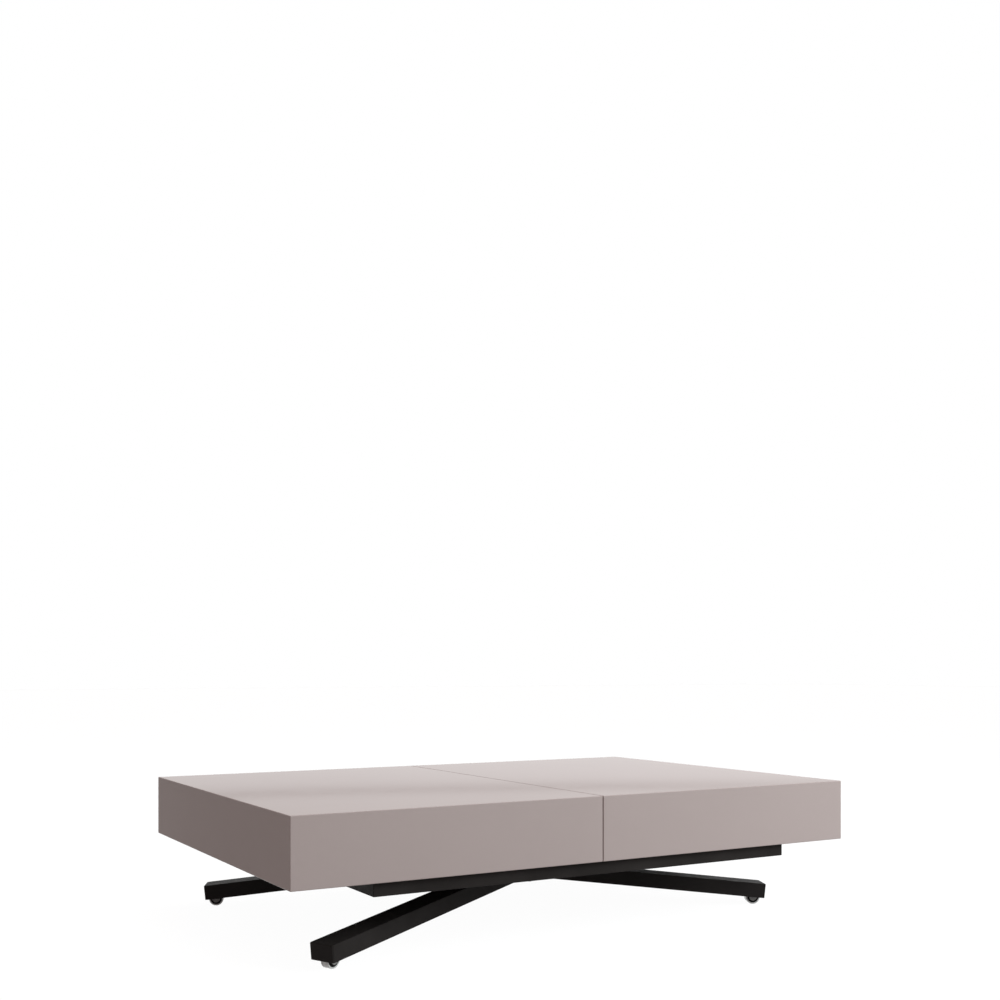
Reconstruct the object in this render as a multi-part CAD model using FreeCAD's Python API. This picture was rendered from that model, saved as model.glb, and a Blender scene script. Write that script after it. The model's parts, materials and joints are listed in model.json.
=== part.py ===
"""Convertible coffee and dining table: a split box top on a wheeled scissor lift.

Units are millimetres. X runs along the table's length, Y to the back, Z up.
The origin is on the floor, under the middle of the closed, lowered table.
"""
import FreeCAD, Part
import math
import os

from FreeCAD import Vector

# Driving dimensions of the top
TABLE_LENGTH = 1200.0
TABLE_WIDTH = 800.0
BOX_HEIGHT = 120.0
TOP_HEIGHT = 270.0
PANEL_THICKNESS = 18.0
APRON_THICKNESS = 12.0
SEAM_GAP = 1.5
BOARD_ARRIS = 1.0

# Driving dimensions of the steel frame under the top
FRAME_LENGTH = 900.0
FRAME_DROP = 25.0
FRAME_SIDE_GAP = 3.0
FRAME_TUBE_WIDTH = 25.0
FRAME_WALL = 2.0
CROSS_TUBE_WIDTH = 25.0
CROSS_TUBE_HEIGHT = 35.0
CROSS_TUBE_X = 150.0

# Driving dimensions of the legs
LEG_WIDTH = 50.0
LEG_HEIGHT = 30.0
LEG_WALL = 2.0
LEG_SPLAY_DEG = 25.0
LEG_RISE_DEG = 6.1
LEG_END_X = 515.0
OUTER_LEG_Y = 84.0
INNER_LEG_Y = 10.0
LEG_CAP_THICKNESS = 3.0

# Driving dimensions of the scissor
ARM_WIDTH = 30.0
ARM_HEIGHT = 30.0
ARM_WALL = 2.0
OUTER_ARM_Y = 130.0
INNER_ARM_Y = 35.0
ARM_PIVOT_INSET = 30.0
ARM_END_LENGTH = 12.0
HUB_DIAMETER = 31.0
CENTRE_AXLE_DIAMETER = 20.0
HUB_END_MARGIN = 3.0
HUB_SIDE_GAP = 2.0
PIVOT_SHAFT_DIAMETER = 16.0
PIVOT_BRACKET_THICKNESS = 6.0
PIVOT_BRACKET_GAP = 3.0
PIVOT_BRACKET_REACH = 17.0
SHAFT_OVERHANG = 2.0
ROLLER_DIAMETER = 30.0
ROLLER_WIDTH = 14.0
ROLLER_GAP = 10.0
CHANNEL_WALL = 4.0
CHANNEL_LIP = 3.0
CHANNEL_LIP_HEIGHT = 4.0

# Driving dimensions of the wheels
WHEEL_DIAMETER = 30.0
WHEEL_WIDTH = 16.0
WHEEL_END_MARGIN = 1.0
TREAD_THICKNESS = 2.7
RIM_RECESS = 0.8
RIM_KEY_SIDES = 24
FORK_THICKNESS = 2.0
FORK_EAR_RADIUS = 8.0
WHEEL_SIDE_GAP = 0.5
WHEEL_AXLE_DIAMETER = 5.0
WHEEL_SLOT_MARGIN = 3.0

# Driving dimensions of the gas strut
STRUT_RADIUS = 110.0
STRUT_MOUNT_DROP = 10.0
STRUT_OPEN_ANGLE_DEG = 59.0
STRUT_TUBE_DIAMETER = 20.0
STRUT_TUBE_WALL = 2.0
STRUT_ROD_DIAMETER = 8.0
STRUT_TUBE_START = 14.0
STRUT_ROD_SHOWS = 16.0
STRUT_GLAND_LENGTH = 8.0
STRUT_PISTON_LENGTH = 8.0
STRUT_PISTON_AT = 28.0
STRUT_EYE_RADIUS = 8.0
STRUT_EYE_BACK = 10.0
STRUT_EYE_WIDTH = 20.0
STRUT_PIN_DIAMETER = 8.0
STRUT_PLATE_THICKNESS = 5.0
STRUT_PLATE_GAP = 1.0
CRANK_HUB_RADIUS = 14.0
CRANK_TIP_RADIUS = 10.0
STRUT_BEAM_CLEARANCE = 10.0

# Driving dimensions of the release lever
LEVER_Y = 45.0
LEVER_WIDTH = 10.0
LEVER_THICKNESS = 6.0
LEVER_PIVOT_DROP = 13.0
LEVER_UNDER_FRAME = 17.0
LEVER_REACH = 80.0
LEVER_PIN_DIAMETER = 6.0
LEVER_EAR_THICKNESS = 4.0
LEVER_EAR_RADIUS = 8.0
LEVER_SIDE_GAP = 1.0
GRIP_LENGTH = 46.0
GRIP_WIDTH = 34.0
GRIP_THICKNESS = 12.0
GRIP_ROUNDING = 4.0
GRIP_END = 6.0

# Driving dimensions of the sliding top and the stored leaves
LEAF_NAMES = ("lower_leaf", "upper_leaf")
LEAF_WIDTH = 400.0
LEAF_THICKNESS = 18.0
LEAF_PAD = 2.0
LEAF_PAD_WIDTH = 24.0
LEAF_PAD_INSET = 30.0
LEAF_HEADROOM = 12.0
RAIL_FLANGE_WIDTH = 22.0
RAIL_FLANGE_THICKNESS = 5.0
RAIL_WEB = 8.0
RAIL_INSET = 30.0
RAIL_PITCH = 36.0
RAIL_LIFT = 4.0
RAIL_TAIL_SPARE = 10.0
RAIL_END_GAP = 4.0
GUIDE_LENGTH = 40.0
GUIDE_WALL = 5.0
GUIDE_HEIGHT = 18.0
DOWEL_DIAMETER = 8.0
DOWEL_PROUD = 12.0
DOWEL_SET = 20.0
DOWEL_PITCH = 280.0

# Clearances
RUNNING = 0.05
SLIDING = 0.4
GLUED = 0.0

# Levels and places that follow from the driving dimensions
LEAF_COUNT = len(LEAF_NAMES)
HALF_LENGTH = TABLE_LENGTH / 2
HALF_WIDTH = TABLE_WIDTH / 2
BOX_BOTTOM = TOP_HEIGHT - BOX_HEIGHT
PANEL_UNDERSIDE = TOP_HEIGHT - PANEL_THICKNESS
FRAME_HALF_LENGTH = FRAME_LENGTH / 2
FRAME_HALF_WIDTH = HALF_WIDTH - APRON_THICKNESS - FRAME_SIDE_GAP
FRAME_BOTTOM = BOX_BOTTOM - FRAME_DROP
FRAME_TOP = PANEL_UNDERSIDE - LEAF_HEADROOM - LEAF_COUNT * (LEAF_THICKNESS + LEAF_PAD)
FRAME_TUBE_HEIGHT = FRAME_TOP - FRAME_BOTTOM
FRAME_INNER_X = FRAME_HALF_LENGTH - FRAME_TUBE_WIDTH
FRAME_INNER_Y = FRAME_HALF_WIDTH - FRAME_TUBE_WIDTH
CROSS_TUBE_BOTTOM = FRAME_TOP - CROSS_TUBE_HEIGHT

SPLAY = math.radians(LEG_SPLAY_DEG)
RISE = math.radians(LEG_RISE_DEG)
LEG_RUN = LEG_END_X / math.cos(SPLAY)
OUTER_FOOT_Y = OUTER_LEG_Y + LEG_END_X * math.tan(SPLAY)
INNER_FOOT_Y = INNER_LEG_Y + LEG_END_X * math.tan(SPLAY)
WHEEL_RADIUS = WHEEL_DIAMETER / 2
WHEEL_FROM_LEG_END = WHEEL_RADIUS + WHEEL_SLOT_MARGIN + WHEEL_END_MARGIN
LEG_END_CENTRE_Z = WHEEL_RADIUS + LEG_HEIGHT / 2
CENTRE_Z = LEG_END_CENTRE_Z + LEG_RUN * math.tan(RISE)
HUB_RADIUS = HUB_DIAMETER / 2
INNER_HUB_END = INNER_ARM_Y + ARM_WIDTH / 2 + HUB_END_MARGIN
OUTER_HUB_START = INNER_HUB_END + HUB_SIDE_GAP
OUTER_HUB_END = OUTER_ARM_Y + ARM_WIDTH / 2
PIVOT_BRACKET_Y = OUTER_HUB_END + PIVOT_BRACKET_GAP
PIVOT_SHAFT_HALF = PIVOT_BRACKET_Y + PIVOT_BRACKET_THICKNESS + SHAFT_OVERHANG
ROLLER_Y = INNER_ARM_Y + ARM_WIDTH / 2 + ROLLER_GAP
CHANNEL_WEB_Y = ROLLER_Y + ROLLER_WIDTH + SHAFT_OVERHANG + SLIDING
CHANNEL_INNER_HALF = ROLLER_DIAMETER / 2 + SLIDING
ARM_PIVOT_X = FRAME_INNER_X - ARM_PIVOT_INSET
ARM_PIVOT_Z = CROSS_TUBE_BOTTOM - CHANNEL_WALL - CHANNEL_INNER_HALF

OUTER_PIVOT = Vector(ARM_PIVOT_X, 0, ARM_PIVOT_Z)
INNER_PIVOT = Vector(-ARM_PIVOT_X, 0, ARM_PIVOT_Z)
CENTRE = Vector(0, 0, CENTRE_Z)

# The strut's two ends lie at one distance from the fixed pivot, so it turns by half the lift angle
STRUT_TOP_RISE = FRAME_TOP - STRUT_MOUNT_DROP - ARM_PIVOT_Z
STRUT_TOP_ANGLE = math.asin(STRUT_TOP_RISE / STRUT_RADIUS)
STRUT_LOW_ANGLE = math.radians(STRUT_OPEN_ANGLE_DEG) - STRUT_TOP_ANGLE
STRUT_TOP = OUTER_PIVOT + Vector(-math.cos(STRUT_TOP_ANGLE), 0, math.sin(STRUT_TOP_ANGLE)) * STRUT_RADIUS
STRUT_LOW = OUTER_PIVOT + Vector(-math.cos(STRUT_LOW_ANGLE), 0, -math.sin(STRUT_LOW_ANGLE)) * STRUT_RADIUS
STRUT_LENGTH = (STRUT_LOW - STRUT_TOP).Length
STRUT_LINE = (STRUT_LOW - STRUT_TOP).normalize()
STRUT_TUBE_END = STRUT_LENGTH - STRUT_ROD_SHOWS
STRUT_BORE_RADIUS = STRUT_TUBE_DIAMETER / 2 - STRUT_TUBE_WALL
STRUT_PLATE_Y = STRUT_EYE_WIDTH / 2 + STRUT_PLATE_GAP
STRUT_PIN_HALF = STRUT_PLATE_Y + STRUT_PLATE_THICKNESS + SHAFT_OVERHANG
STRUT_BEAM_X = STRUT_TOP.x + STRUT_TUBE_DIAMETER + STRUT_BEAM_CLEARANCE
LEVER_PIVOT = Vector(STRUT_BEAM_X + CROSS_TUBE_WIDTH / 2, LEVER_Y, CROSS_TUBE_BOTTOM - LEVER_PIVOT_DROP)

LEAF_BASE = FRAME_TOP + LEAF_PAD
RAIL_BOTTOM = FRAME_TOP + RAIL_LIFT
RAIL_CENTRE_Y = FRAME_INNER_Y - RAIL_INSET
RAIL_TAIL_X = LEAF_WIDTH + RAIL_TAIL_SPARE
RAIL_Y = {"left": RAIL_CENTRE_Y - RAIL_PITCH / 2, "right": RAIL_CENTRE_Y + RAIL_PITCH / 2}
DOWEL_PLACES = (-DOWEL_PITCH, DOWEL_PITCH)
SIDE_X = {"left": -1, "right": 1}
SIDE_Y = {"front": -1, "rear": 1}

AXIS_X = Vector(1, 0, 0)
AXIS_Y = Vector(0, 1, 0)
AXIS_Z = Vector(0, 0, 1)
PARALLEL = 1e-6
CLIP = math.tan(math.radians(22.5))


def save(name, shape):
    """Write one node's solids."""
    shape.exportStep(os.path.join("parts", name + ".step"))


def group(shapes):
    return Part.makeCompound(list(shapes))


def block(x0, x1, y0, y1, z0, z1):
    """Box between two corners, given in any order."""
    low = Vector(min(x0, x1), min(y0, y1), min(z0, z1))
    return Part.makeBox(abs(x1 - x0), abs(y1 - y0), abs(z1 - z0), low)


def rod(centre, radius, y0, y1):
    """Round bar along Y through a point of the XZ plane."""
    return Part.makeCylinder(radius, y1 - y0, Vector(centre.x, y0, centre.z), AXIS_Y)


def prism(points, direction):
    """Extruded polygon."""
    return Part.Face(Part.makePolygon(points + points[:1])).extrude(direction)


def lug(centre, outward, back, radius, y0, y1):
    """Plate from a straight root to a hole's surroundings, with clipped corners, extruded along Y."""
    across = outward.cross(AXIS_Y)
    clip = radius * CLIP
    outline = [
        (-back, -radius), (clip, -radius), (radius, -clip), (radius, clip), (clip, radius), (-back, radius)]
    plate = prism([centre + outward * u + across * v for u, v in outline], AXIS_Y * (y1 - y0))
    plate.translate(AXIS_Y * y0 - Vector(0, centre.y, 0))
    return plate


def bent_bar(points, thickness, y0, y1):
    """Flat bar that follows a bent line in the XZ plane, extruded along Y."""
    directions = [(b - a).normalize() for a, b in zip(points, points[1:])]
    left = []
    right = []
    for index, point in enumerate(points):
        before = directions[max(index - 1, 0)]
        after = directions[min(index, len(directions) - 1)]
        middle = (before + after).normalize()
        side = middle.cross(AXIS_Y)
        reach = thickness / 2 / side.dot(before.cross(AXIS_Y))
        left.append(point + side * reach)
        right.append(point - side * reach)
    bar = prism(left + right[::-1], AXIS_Y * (y1 - y0))
    bar.translate(AXIS_Y * y0)
    return bar


def mirror_y(shape):
    return shape.mirror(Vector(0, 0, 0), AXIS_Y)


def mirror_x(shape):
    return shape.mirror(Vector(0, 0, 0), AXIS_X)


def link_plate(a, b, radius_a, radius_b, y0, y1):
    """Tapered flat link between two holes, with clipped corners, extruded along Y."""
    along = (b - a).normalize()
    across = along.cross(AXIS_Y)
    clip_a = radius_a * CLIP
    clip_b = radius_b * CLIP
    side = [b + along * radius_b + across * clip_b, b + along * clip_b + across * radius_b,
            a - along * clip_a + across * radius_a, a - along * radius_a + across * clip_a]
    other = [point - across * (2 * (point - a).dot(across)) for point in reversed(side)]
    plate = prism(side + other, AXIS_Y * (y1 - y0))
    plate.translate(AXIS_Y * y0)
    return plate


def softened(board):
    """Board with its sharp edges taken off."""
    return board.makeChamfer(BOARD_ARRIS, board.Edges)


def half_panel():
    """Top board of the right half: mitred on three edges, square at the seam."""
    seam = SEAM_GAP / 2
    wires = []
    for z, inset in ((TOP_HEIGHT, 0.0), (PANEL_UNDERSIDE, APRON_THICKNESS)):
        far = HALF_LENGTH - inset
        side = HALF_WIDTH - inset
        points = [Vector(seam, -side, z), Vector(far, -side, z), Vector(far, side, z), Vector(seam, side, z)]
        wires.append(Part.makePolygon(points + points[:1]))
    return Part.makeLoft(wires, True, True)


def top_half(side):
    """Panel and three aprons of one half of the box."""
    seam = SEAM_GAP / 2
    panel = half_panel()
    height = AXIS_Z * BOX_HEIGHT
    inner_x = HALF_LENGTH - APRON_THICKNESS
    inner_y = HALF_WIDTH - APRON_THICKNESS
    low = [Vector(x, y, BOX_BOTTOM) for x, y in (
        (HALF_LENGTH, -HALF_WIDTH), (HALF_LENGTH, HALF_WIDTH), (inner_x, inner_y), (inner_x, -inner_y))]
    end = prism(low, height).cut(panel)
    low = [Vector(x, y, BOX_BOTTOM) for x, y in (
        (seam, -HALF_WIDTH), (HALF_LENGTH, -HALF_WIDTH), (inner_x, -inner_y), (seam, -inner_y))]
    front = prism(low, height).cut(panel)
    boards = {"top_panel": panel, "end_apron": end, "front_apron": front, "rear_apron": mirror_y(front)}
    outside = softened(block(seam, HALF_LENGTH, -HALF_WIDTH, HALF_WIDTH, BOX_BOTTOM, TOP_HEIGHT))
    boards = {name: board.common(outside) for name, board in boards.items()}
    if side == "left":
        boards = {name: mirror_x(board) for name, board in boards.items()}
    boards["top_panel"] = drilled_panel(boards["top_panel"], side)
    return boards


def drilled_panel(panel, side):
    """Panel with holes for the dowels in its seam edge."""
    sign = SIDE_X[side]
    radius = DOWEL_DIAMETER / 2 + (SLIDING if side == "right" else GLUED)
    depth = DOWEL_SET if side == "left" else DOWEL_PROUD + SEAM_GAP
    z = TOP_HEIGHT - PANEL_THICKNESS / 2
    for y in DOWEL_PLACES:
        panel = panel.cut(Part.makeCylinder(radius, depth, Vector(0, y, z), AXIS_X * sign))
    return panel


def dowels():
    z = TOP_HEIGHT - PANEL_THICKNESS / 2
    pegs = []
    for y in DOWEL_PLACES:
        peg = Part.makeCylinder(DOWEL_DIAMETER / 2, DOWEL_SET + DOWEL_PROUD, Vector(-DOWEL_SET, y, z), AXIS_X)
        pegs.append(peg)
    return group(pegs)


def rail_profile(y, grow):
    """I-shaped section of a slide rail in the YZ plane, grown by a clearance."""
    flange = RAIL_FLANGE_WIDTH / 2 + grow
    web = RAIL_WEB / 2 + grow
    low = RAIL_BOTTOM - grow
    low_top = RAIL_BOTTOM + RAIL_FLANGE_THICKNESS + grow
    high_low = PANEL_UNDERSIDE - RAIL_FLANGE_THICKNESS
    outline = [
        (-flange, low), (flange, low), (flange, low_top), (web, low_top), (web, high_low), (flange, high_low),
        (flange, PANEL_UNDERSIDE), (-flange, PANEL_UNDERSIDE), (-flange, high_low), (-web, high_low),
        (-web, low_top), (-flange, low_top)]
    return [Vector(0, y + dy, z) for dy, z in outline]


def slide_rails(side):
    """Two rails under one half: they run on past the seam, lower by a leaf's pad, to carry the leaves."""
    sign = SIDE_X[side]
    far = HALF_LENGTH - APRON_THICKNESS - RAIL_END_GAP
    rails = []
    for y in (-RAIL_Y[side], RAIL_Y[side]):
        rail = prism(rail_profile(y, 0.0), AXIS_X * (far + RAIL_TAIL_X))
        rail.translate(AXIS_X * (-RAIL_TAIL_X))
        half = RAIL_FLANGE_WIDTH / 2
        rail = rail.cut(block(-RAIL_TAIL_X, SEAM_GAP / 2, y - half, y + half,
                              PANEL_UNDERSIDE - LEAF_PAD, PANEL_UNDERSIDE))
        rails.append(rail if sign > 0 else mirror_x(rail))
    return group(rails)


def rail_guides(side):
    """Guide blocks on the end bar and on the cross tube that hold one half's rails."""
    sign = SIDE_X[side]
    half = RAIL_FLANGE_WIDTH / 2 + GUIDE_WALL
    end_x = FRAME_HALF_LENGTH - FRAME_TUBE_WIDTH / 2
    guides = []
    for x in (end_x, CROSS_TUBE_X):
        for y in (-RAIL_Y[side], RAIL_Y[side]):
            guide = block(x - GUIDE_LENGTH / 2, x + GUIDE_LENGTH / 2, y - half, y + half,
                          FRAME_TOP, FRAME_TOP + GUIDE_HEIGHT)
            slot = prism(rail_profile(y, SLIDING), AXIS_X * GUIDE_LENGTH * 2)
            slot.translate(AXIS_X * (x - GUIDE_LENGTH))
            guide = guide.cut(slot)
            guides.append(guide if sign > 0 else mirror_x(guide))
    return group(guides)


def frame_side(side):
    """Long frame tube, mitred at both ends."""
    low = [Vector(x, y, FRAME_BOTTOM) for x, y in (
        (-FRAME_HALF_LENGTH, FRAME_HALF_WIDTH), (FRAME_HALF_LENGTH, FRAME_HALF_WIDTH),
        (FRAME_INNER_X, FRAME_INNER_Y), (-FRAME_INNER_X, FRAME_INNER_Y))]
    tube = prism(low, AXIS_Z * FRAME_TUBE_HEIGHT)
    hollow = block(-FRAME_LENGTH, FRAME_LENGTH, FRAME_INNER_Y + FRAME_WALL, FRAME_HALF_WIDTH - FRAME_WALL,
                   FRAME_BOTTOM + FRAME_WALL, FRAME_TOP - FRAME_WALL)
    tube = tube.cut(hollow)
    return tube if SIDE_Y[side] > 0 else mirror_y(tube)


def frame_end(side):
    """Short frame tube, mitred at both ends."""
    low = [Vector(x, y, FRAME_BOTTOM) for x, y in (
        (FRAME_HALF_LENGTH, -FRAME_HALF_WIDTH), (FRAME_HALF_LENGTH, FRAME_HALF_WIDTH),
        (FRAME_INNER_X, FRAME_INNER_Y), (FRAME_INNER_X, -FRAME_INNER_Y))]
    tube = prism(low, AXIS_Z * FRAME_TUBE_HEIGHT)
    hollow = block(FRAME_INNER_X + FRAME_WALL, FRAME_HALF_LENGTH - FRAME_WALL, -TABLE_WIDTH, TABLE_WIDTH,
                   FRAME_BOTTOM + FRAME_WALL, FRAME_TOP - FRAME_WALL)
    tube = tube.cut(hollow)
    return tube if SIDE_X[side] > 0 else mirror_x(tube)


def cross_tube(x):
    """Tube from side to side of the frame, with its top flush with the frame's; x is its middle."""
    half = CROSS_TUBE_WIDTH / 2
    tube = block(x - half, x + half, -FRAME_INNER_Y, FRAME_INNER_Y, CROSS_TUBE_BOTTOM, FRAME_TOP)
    hollow = block(x - half + FRAME_WALL, x + half - FRAME_WALL, -FRAME_INNER_Y, FRAME_INNER_Y,
                   CROSS_TUBE_BOTTOM + FRAME_WALL, FRAME_TOP - FRAME_WALL)
    return tube.cut(hollow)


def guide_channel(side):
    """Lipped channel open towards the middle, in which one roller of the inner legs runs."""
    start = -FRAME_INNER_X
    stop = -CROSS_TUBE_X + CROSS_TUBE_WIDTH / 2
    lip = ROLLER_Y - CHANNEL_LIP
    back = CHANNEL_WEB_Y + CHANNEL_WALL
    low = ARM_PIVOT_Z - CHANNEL_INNER_HALF
    high = ARM_PIVOT_Z + CHANNEL_INNER_HALF
    channel = block(start, stop, lip, back, low - CHANNEL_WALL, CROSS_TUBE_BOTTOM)
    channel = channel.cut(block(start, stop, ROLLER_Y - SLIDING, CHANNEL_WEB_Y, low, high))
    channel = channel.cut(block(start, stop, lip, ROLLER_Y,
                                low + CHANNEL_LIP_HEIGHT, high - CHANNEL_LIP_HEIGHT))
    return channel if SIDE_Y[side] > 0 else mirror_y(channel)


def pivot_brackets():
    """Two plates on the right end bar that carry the outer legs' pivot shaft."""
    y = PIVOT_BRACKET_Y
    plate = lug(OUTER_PIVOT, -AXIS_X, FRAME_INNER_X - ARM_PIVOT_X, PIVOT_BRACKET_REACH,
                y, y + PIVOT_BRACKET_THICKNESS)
    plate = plate.cut(rod(OUTER_PIVOT, PIVOT_SHAFT_DIAMETER / 2 + RUNNING, y, y + PIVOT_BRACKET_THICKNESS))
    return group([plate, mirror_y(plate)])


def leaf(level):
    """Loose extension leaf, stored lengthwise across the frame; level 0 is the lower one."""
    low = leaf_underside(level)
    half = LEAF_WIDTH / 2
    return softened(block(-HALF_WIDTH, HALF_WIDTH, -half, half, low, low + LEAF_THICKNESS))


def leaf_underside(level):
    return LEAF_BASE + level * (LEAF_THICKNESS + LEAF_PAD)


def leaf_pads():
    """Felt strips under each leaf: they lie on the cross tubes now, and on the rails when it is in use."""
    far = HALF_WIDTH - LEAF_PAD_INSET
    outer = LEAF_WIDTH / 2 - LEAF_PAD_INSET
    strips = []
    for level in range(LEAF_COUNT):
        top = leaf_underside(level)
        strip = block(-far, far, outer - LEAF_PAD_WIDTH, outer, top - LEAF_PAD, top)
        strips += [strip, mirror_y(strip)]
    return group(strips)


def leg_placement(foot_y, toward_right):
    """Frame of a leg: X along it towards the middle, Y to its left, Z up, origin in its end face."""
    sign = 1 if toward_right else -1
    along = Vector(sign * math.cos(SPLAY) * math.cos(RISE), -math.sin(SPLAY) * math.cos(RISE), math.sin(RISE))
    across = AXIS_Z.cross(along).normalize()
    up = along.cross(across)
    end = Vector(-sign * LEG_END_X, foot_y, LEG_END_CENTRE_Z)
    matrix = FreeCAD.Matrix(
        along.x, across.x, up.x, end.x,
        along.y, across.y, up.y, end.y,
        along.z, across.z, up.z, end.z,
        0, 0, 0, 1)
    return FreeCAD.Placement(matrix)


def wheel_centre(place):
    """Wheel's middle: under the leg's axis, a wheel radius above the floor."""
    on_axis = place.multVec(Vector(WHEEL_FROM_LEG_END, 0, 0))
    return Vector(on_axis.x, on_axis.y, WHEEL_RADIUS)


def wheel_axis(place):
    """Level axis square to the leg."""
    return place.Rotation.multVec(AXIS_Y)


def leg(place, mitred):
    """Rear leg tube: a slot below for the wheel, the inner end coped to its hub."""
    half_w = LEG_WIDTH / 2
    half_h = LEG_HEIGHT / 2
    length = LEG_RUN / math.cos(RISE)
    tube = block(0, length, -half_w, half_w, -half_h, half_h)
    hollow = block(0, length, -half_w + LEG_WALL, half_w - LEG_WALL, -half_h + LEG_WALL, half_h - LEG_WALL)
    slot_half = WHEEL_WIDTH / 2 + WHEEL_SLOT_MARGIN
    slot_reach = WHEEL_RADIUS + WHEEL_SLOT_MARGIN
    slot = block(WHEEL_FROM_LEG_END - slot_reach, WHEEL_FROM_LEG_END + slot_reach,
                 -slot_half, slot_half, -half_h, -half_h + LEG_WALL)
    tube = tube.cut(hollow).cut(slot)
    tube.Placement = place
    tube = tube.cut(rod(CENTRE, HUB_RADIUS, -TABLE_WIDTH, TABLE_WIDTH))
    reach = TABLE_LENGTH
    past_hub = block(0, reach, -reach, reach, -reach, reach)
    if place.Base.x > 0:
        past_hub = mirror_x(past_hub)
    tube = tube.cut(past_hub)
    if mitred:
        tube = tube.cut(block(-reach, reach, -reach, 0, -reach, reach))
    return max(tube.Solids, key=lambda solid: solid.Volume)


def leg_cap(place):
    """Flat cap in the leg's open end."""
    half_w = LEG_WIDTH / 2
    half_h = LEG_HEIGHT / 2
    plate = block(-LEG_CAP_THICKNESS, 0, -half_w, half_w, -half_h, half_h)
    plate.Placement = place
    return plate


def wheel_fork(place):
    """Bent strip inside the leg's end: the axle is riveted between its two ears."""
    centre = wheel_centre(place)
    inner = WHEEL_WIDTH / 2 + WHEEL_SIDE_GAP
    outer = inner + FORK_THICKNESS
    local = place.inverse().multVec(centre)
    top = LEG_HEIGHT / 2 - LEG_WALL
    back = local.x - FORK_EAR_RADIUS
    front = local.x + FORK_EAR_RADIUS
    ear = block(back, front, inner, outer, local.z, top)
    ear = ear.fuse(rod(local, FORK_EAR_RADIUS, inner, outer))
    bridge = block(back, front, -inner, inner, top - FORK_THICKNESS, top)
    fork = ear.fuse(mirror_y(ear)).fuse(bridge).removeSplitter()
    fork.Placement = place
    return fork


def wheel_axle(place):
    half = WHEEL_WIDTH / 2 + WHEEL_SIDE_GAP
    axis = wheel_axis(place)
    return Part.makeCylinder(WHEEL_AXLE_DIAMETER / 2, 2 * half, wheel_centre(place) - axis * half, axis)


def wheel_seat():
    """Many-sided outline that keys the tread to the rim, in the wheel's plane."""
    radius = WHEEL_RADIUS - TREAD_THICKNESS
    points = []
    for side in range(RIM_KEY_SIDES):
        angle = 2 * math.pi * side / RIM_KEY_SIDES
        points.append(Vector(radius * math.cos(angle), radius * math.sin(angle), 0))
    return points


def wheel_prism(half):
    """Solid on the keyed outline, so far to either side of the wheel's middle."""
    solid = prism(wheel_seat(), AXIS_Z * (2 * half))
    solid.translate(AXIS_Z * -half)
    return solid


def wheel_disc(radius, half):
    return Part.makeCylinder(radius, 2 * half, Vector(0, 0, -half), AXIS_Z)


def on_axle(solid, place):
    """Turn a piece of the wheel from the Z axis onto its axle."""
    solid.Placement = FreeCAD.Placement(wheel_centre(place), FreeCAD.Rotation(AXIS_Z, wheel_axis(place)))
    return solid


def wheel_rim(place):
    """Rim that runs on the axle, set back a little inside the tread."""
    half = WHEEL_WIDTH / 2
    rim = wheel_prism(half - RIM_RECESS).cut(wheel_disc(WHEEL_AXLE_DIAMETER / 2 + RUNNING, half))
    return on_axle(rim, place)


def wheel_tyre(place):
    """Tread ring, keyed onto the rim."""
    half = WHEEL_WIDTH / 2
    return on_axle(wheel_disc(WHEEL_RADIUS, half).cut(wheel_prism(half)), place)


def hub_sleeve(y0, y1):
    sleeve = rod(CENTRE, HUB_RADIUS, y0, y1)
    return sleeve.cut(rod(CENTRE, CENTRE_AXLE_DIAMETER / 2 + RUNNING, y0, y1))


def upper_arm(y, pivot):
    """Tube from the hub to an upper pivot, closed and rounded there for the shaft."""
    y0 = y - ARM_WIDTH / 2
    y1 = y + ARM_WIDTH / 2
    span = pivot - CENTRE
    length = span.Length
    half = ARM_HEIGHT / 2
    tube = block(0, length, -ARM_WIDTH / 2, ARM_WIDTH / 2, -half, half)
    hollow_end = length - half - ARM_END_LENGTH
    tube = tube.cut(block(0, hollow_end, -ARM_WIDTH / 2 + ARM_WALL, ARM_WIDTH / 2 - ARM_WALL,
                          -half + ARM_WALL, half - ARM_WALL))
    lift = math.degrees(math.atan2(span.z, abs(span.x)))
    turn = FreeCAD.Rotation(AXIS_Y, -lift)
    tube.Placement = FreeCAD.Placement(CENTRE + AXIS_Y * y, turn)
    if pivot.x < 0:
        tube = mirror_x(tube)
    arm = tube.fuse(rod(pivot, half, y0, y1)).removeSplitter()
    arm = arm.cut(rod(pivot, PIVOT_SHAFT_DIAMETER / 2 + RUNNING, y0, y1))
    arm = arm.cut(rod(CENTRE, HUB_RADIUS, y0, y1))
    return max(arm.Solids, key=lambda solid: solid.Volume)


def guide_roller(side):
    centre = INNER_PIVOT
    roller = rod(centre, ROLLER_DIAMETER / 2, ROLLER_Y, ROLLER_Y + ROLLER_WIDTH)
    roller = roller.cut(rod(centre, PIVOT_SHAFT_DIAMETER / 2 + RUNNING, ROLLER_Y, ROLLER_Y + ROLLER_WIDTH))
    return roller if SIDE_Y[side] > 0 else mirror_y(roller)


def crank_plates():
    """Two links from the pivot shaft down to the strut's lower pin."""
    y0 = STRUT_PLATE_Y
    y1 = y0 + STRUT_PLATE_THICKNESS
    plate = link_plate(OUTER_PIVOT, STRUT_LOW, CRANK_HUB_RADIUS, CRANK_TIP_RADIUS, y0, y1)
    plate = plate.cut(rod(OUTER_PIVOT, PIVOT_SHAFT_DIAMETER / 2 + RUNNING, y0, y1))
    plate = plate.cut(rod(STRUT_LOW, STRUT_PIN_DIAMETER / 2 + RUNNING, y0, y1))
    return group([plate, mirror_y(plate)])


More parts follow.
